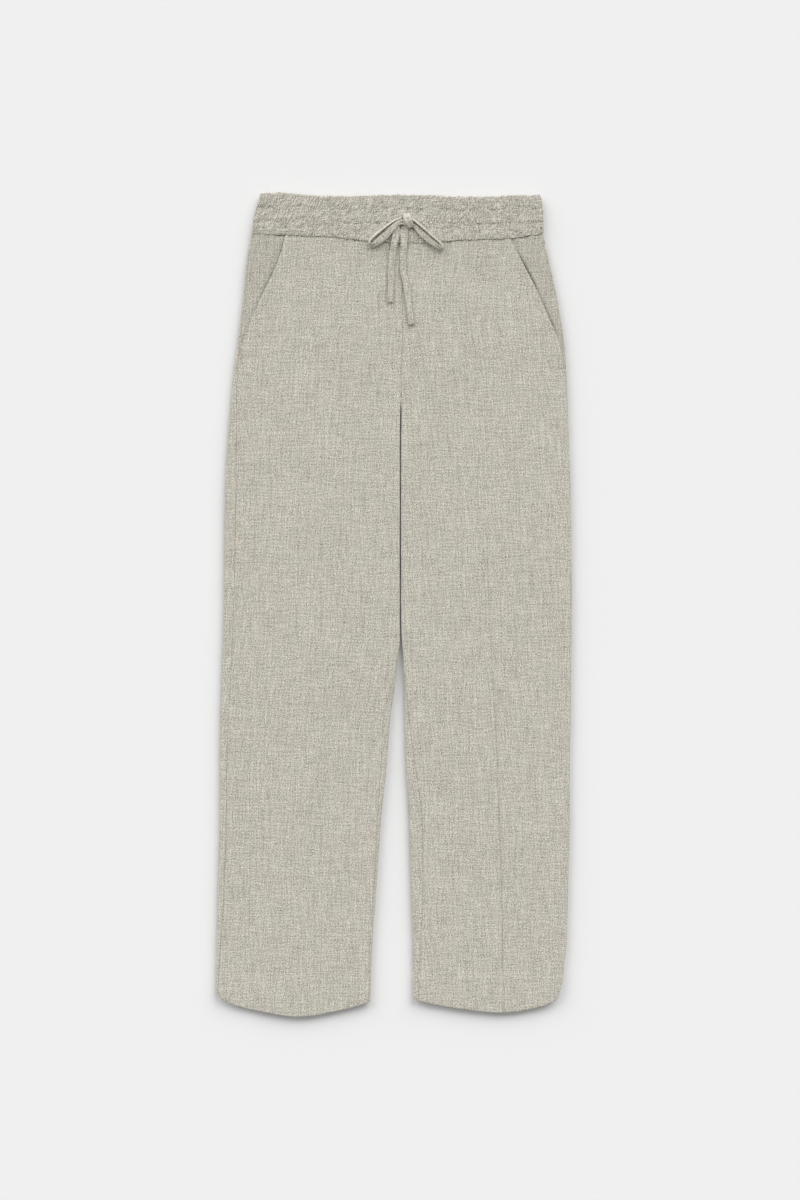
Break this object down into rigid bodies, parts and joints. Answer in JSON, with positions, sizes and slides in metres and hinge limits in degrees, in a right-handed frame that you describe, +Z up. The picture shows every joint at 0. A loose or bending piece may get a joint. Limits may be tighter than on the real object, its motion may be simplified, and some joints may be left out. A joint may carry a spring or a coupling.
{
  "type": "wide-leg lounge trousers",
  "caption": "Wide-leg pull-on trousers in heathered linen-look cloth, laid flat, with a gathered waistband, slanted pockets, pressed creases and a drawstring bow",
  "frame": {"origin": "middle of the cloth's box, on the surface that the trousers lie on", "axes": "+Y from the hems to the waist, +X towards the wearer's left leg, +Z up out of the front of the garment"},
  "size_m": [0.4576, 1.06, 0.0169],
  "materials": {
    "heathered_cloth": "matt plain weave in stone grey-beige, with paler and darker slub threads both ways",
    "gathered_cloth": "the same cloth, gathered on elastic and pinched by two rows of stitching",
    "tie_cloth": "the same cloth as a flat turned tie, pressed at its edges"
  },
  "bodies": {
    "root": {"front_left": "heathered_cloth", "front_right": "heathered_cloth", "back_left": "heathered_cloth", "back_right": "heathered_cloth", "pocket_facing_left": "heathered_cloth", "pocket_facing_right": "heathered_cloth", "waistband_front": "gathered_cloth", "waistband_back": "gathered_cloth", "drawstring_knot": "tie_cloth", "drawstring_loop_left": "tie_cloth", "drawstring_loop_right": "tie_cloth", "drawstring_tail_left": "tie_cloth", "drawstring_tail_right": "tie_cloth"}
  },
  "joints": []
}
